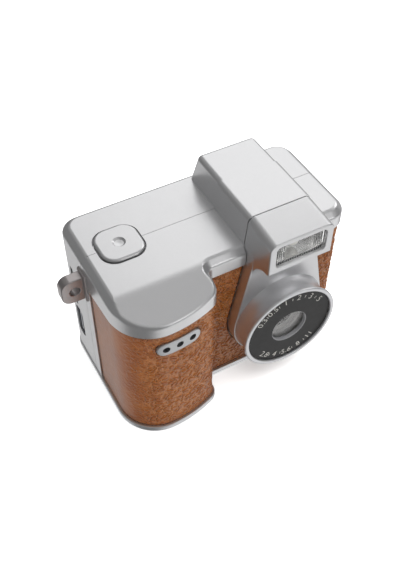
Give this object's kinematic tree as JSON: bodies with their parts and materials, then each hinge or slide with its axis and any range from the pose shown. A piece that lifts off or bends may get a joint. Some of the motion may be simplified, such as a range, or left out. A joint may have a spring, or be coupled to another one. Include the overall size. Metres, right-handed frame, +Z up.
{
  "type": "keychain digital camera",
  "caption": "Miniature retro digital camera with a leather grip, flash hump, round lens barrel, strap lug, shutter button and a screen with keys on the back.",
  "frame": {"origin": "underside of the base cover, on the joint plane of the two shells, midway between the body's sides", "axes": "+X to the right seen from the front, -Y out of the lens, +Z up"},
  "size_m": [0.0633, 0.0364, 0.047],
  "materials": {
    "silver_paint": "satin silver paint on moulded plastic",
    "leather_tan": "pebbled tan leatherette",
    "dark_ring": "matte anodised dark ring with pale print",
    "black_plastic": "matte black moulded plastic",
    "white_plastic": "matte white moulded plastic",
    "clear_glass": "clear polished",
    "dark_glass": "gloss smoked cover",
    "bright_foil": "bright metallised",
    "board_green": "green solder mask",
    "amber_film": "amber polyimide film",
    "bare_metal": "plated steel",
    "battery_wrap": "grey foil pouch",
    "wire_red": "insulated wire"
  },
  "bodies": {
    "camera": {"base_cover": "silver_paint", "base_screws": "bare_metal", "battery": "battery_wrap", "battery_leads": "wire_red", "board_screws": "bare_metal", "card_socket": "bare_metal", "case_screws": "bare_metal", "flash_board": "board_green", "flash_light": "clear_glass", "flash_reflector": "bright_foil", "flash_window": "clear_glass", "front_housing": "silver_paint", "front_lens": "clear_glass", "front_shell": "silver_paint", "grip_leather": "leather_tan", "image_sensor": "black_plastic", "infrared_filter": "clear_glass", "key_switches": "black_plastic", "lens_baffle": "black_plastic", "lens_barrel": "silver_paint", "lens_holder": "black_plastic", "lens_ring": "dark_ring", "lens_window": "clear_glass", "main_board": "board_green", "memory_chip": "black_plastic", "mic_plate": "silver_paint", "microphone": "bare_metal", "processor": "black_plastic", "rear_lens": "clear_glass", "rear_shell": "silver_paint", "screen_cover": "dark_glass", "screen_frame": "black_plastic", "screen_panel": "dark_glass", "sensor_board": "board_green", "sensor_flex": "amber_film", "shutter_board": "board_green", "shutter_board_screws": "bare_metal", "shutter_switch": "black_plastic", "side_leather": "leather_tan", "speaker": "black_plastic", "status_led": "white_plastic", "status_light": "clear_glass", "strap_lug": "silver_paint", "usb_port": "bare_metal"},
    "shutter": {"shutter_button": "silver_paint", "shutter_plunger": "black_plastic"},
    "power": {"power_key": "silver_paint", "power_plunger": "black_plastic"},
    "menu": {"menu_key": "silver_paint", "menu_plunger": "black_plastic"},
    "up": {"up_key": "silver_paint", "up_plunger": "black_plastic"},
    "down": {"down_key": "silver_paint", "down_plunger": "black_plastic"}
  },
  "joints": [
    {"name": "shutter_press", "type": "slide", "parent": "camera", "child": "shutter", "axis": [0, 0, -1], "range_m": [0, 0.0006], "stiffness_N_per_m": 1500},
    {"name": "power_press", "type": "slide", "parent": "camera", "child": "power", "axis": [0, -1, 0], "range_m": [0, 0.0005], "stiffness_N_per_m": 1800},
    {"name": "menu_press", "type": "slide", "parent": "camera", "child": "menu", "axis": [0, -1, 0], "range_m": [0, 0.0005], "stiffness_N_per_m": 1800},
    {"name": "up_press", "type": "slide", "parent": "camera", "child": "up", "axis": [0, -1, 0], "range_m": [0, 0.0005], "stiffness_N_per_m": 1800},
    {"name": "down_press", "type": "slide", "parent": "camera", "child": "down", "axis": [0, -1, 0], "range_m": [0, 0.0005], "stiffness_N_per_m": 1800}
  ]
}
